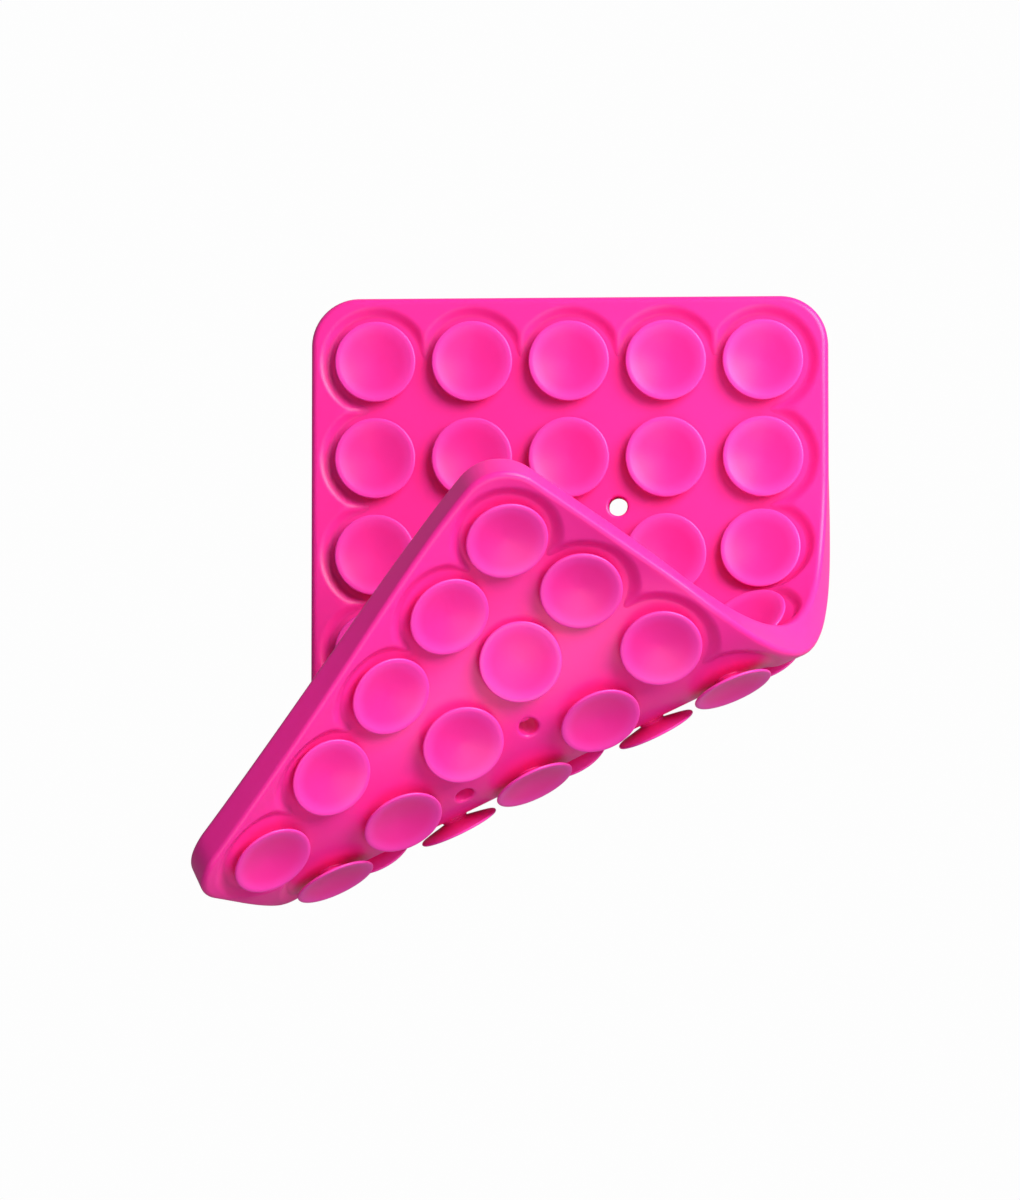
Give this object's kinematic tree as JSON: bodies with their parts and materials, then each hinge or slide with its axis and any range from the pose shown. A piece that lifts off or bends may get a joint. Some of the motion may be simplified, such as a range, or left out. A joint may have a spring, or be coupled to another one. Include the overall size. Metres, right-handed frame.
{
  "type": "suction cup phone holder",
  "caption": "Double-sided silicone suction cup mat that holds a phone to a smooth surface, one lower part folded diagonally up and over.",
  "frame": {"origin": "midway between the two cord holes of the flat panel, in the middle of the web's thickness", "axes": "+Z out of the panel's front towards the viewer, +Y along the mat towards the end that lies flat, +X across the mat to the right seen from the front"},
  "size_m": [0.0853, 0.0835, 0.0512],
  "materials": {
    "silicone": "satin-matte hot pink silicone"
  },
  "bodies": {
    "panel": {"panel_web": "silicone", "panel_front_rim": "silicone", "panel_back_rim": "silicone", "panel_front_cups": "silicone", "panel_back_cups": "silicone"},
    "fold_1": {"fold_1_web": "silicone", "fold_1_front_rim": "silicone", "fold_1_back_rim": "silicone", "fold_1_front_cups": "silicone", "fold_1_back_cups": "silicone"},
    "fold_2": {"fold_2_web": "silicone", "fold_2_front_rim": "silicone", "fold_2_back_rim": "silicone", "fold_2_front_cups": "silicone", "fold_2_back_cups": "silicone"},
    "fold_3": {"fold_3_web": "silicone", "fold_3_front_rim": "silicone", "fold_3_back_rim": "silicone", "fold_3_front_cups": "silicone", "fold_3_back_cups": "silicone"},
    "fold_4": {"fold_4_web": "silicone", "fold_4_front_rim": "silicone", "fold_4_back_rim": "silicone", "fold_4_front_cups": "silicone", "fold_4_back_cups": "silicone"},
    "fold_5": {"fold_5_web": "silicone", "fold_5_front_rim": "silicone", "fold_5_back_rim": "silicone", "fold_5_front_cups": "silicone", "fold_5_back_cups": "silicone"},
    "fold_6": {"fold_6_web": "silicone", "fold_6_front_rim": "silicone", "fold_6_back_rim": "silicone", "fold_6_front_cups": "silicone", "fold_6_back_cups": "silicone"},
    "flap": {"flap_web": "silicone", "flap_front_rim": "silicone", "flap_back_rim": "silicone", "flap_front_cups": "silicone", "flap_back_cups": "silicone"}
  },
  "joints": [
    {"name": "crease_1", "type": "hinge", "parent": "panel", "child": "fold_1", "pos_m": [-0.00396, -0.01848, 0], "axis": [0.8944, 0.4472, 0], "range_deg": [0, 13.23]},
    {"name": "crease_2", "type": "hinge", "parent": "fold_1", "child": "fold_2", "pos_m": [-0.00139, -0.02362, 0.00135], "axis": [0.8944, 0.4472, 0], "range_deg": [0, 20.58]},
    {"name": "crease_3", "type": "hinge", "parent": "fold_2", "child": "fold_3", "pos_m": [0.0008, -0.02801, 0.00464], "axis": [0.8944, 0.4472, 0], "range_deg": [0, 22.05]},
    {"name": "crease_4", "type": "hinge", "parent": "fold_3", "child": "fold_4", "pos_m": [0.00229, -0.03097, 0.00952], "axis": [0.8944, 0.4472, 0], "range_deg": [0, 23.08]},
    {"name": "crease_5", "type": "hinge", "parent": "fold_4", "child": "fold_5", "pos_m": [0.00279, -0.03198, 0.01532], "axis": [0.8944, 0.4472, 0], "range_deg": [0, 23.08]},
    {"name": "crease_6", "type": "hinge", "parent": "fold_5", "child": "fold_6", "pos_m": [0.00224, -0.03088, 0.02109], "axis": [0.8944, 0.4472, 0], "range_deg": [0, 23.08]},
    {"name": "crease_7", "type": "hinge", "parent": "fold_6", "child": "flap", "pos_m": [0.00072, -0.02785, 0.02592], "axis": [0.8944, 0.4472, 0], "range_deg": [0, 21.9]}
  ],
  "couplings": [
    {"joint": "crease_2", "follows": "crease_1", "ratio": 1.5556},
    {"joint": "crease_3", "follows": "crease_1", "ratio": 1.6667},
    {"joint": "crease_4", "follows": "crease_1", "ratio": 1.7444},
    {"joint": "crease_5", "follows": "crease_1", "ratio": 1.7444},
    {"joint": "crease_6", "follows": "crease_1", "ratio": 1.7444},
    {"joint": "crease_7", "follows": "crease_1", "ratio": 1.6556}
  ]
}
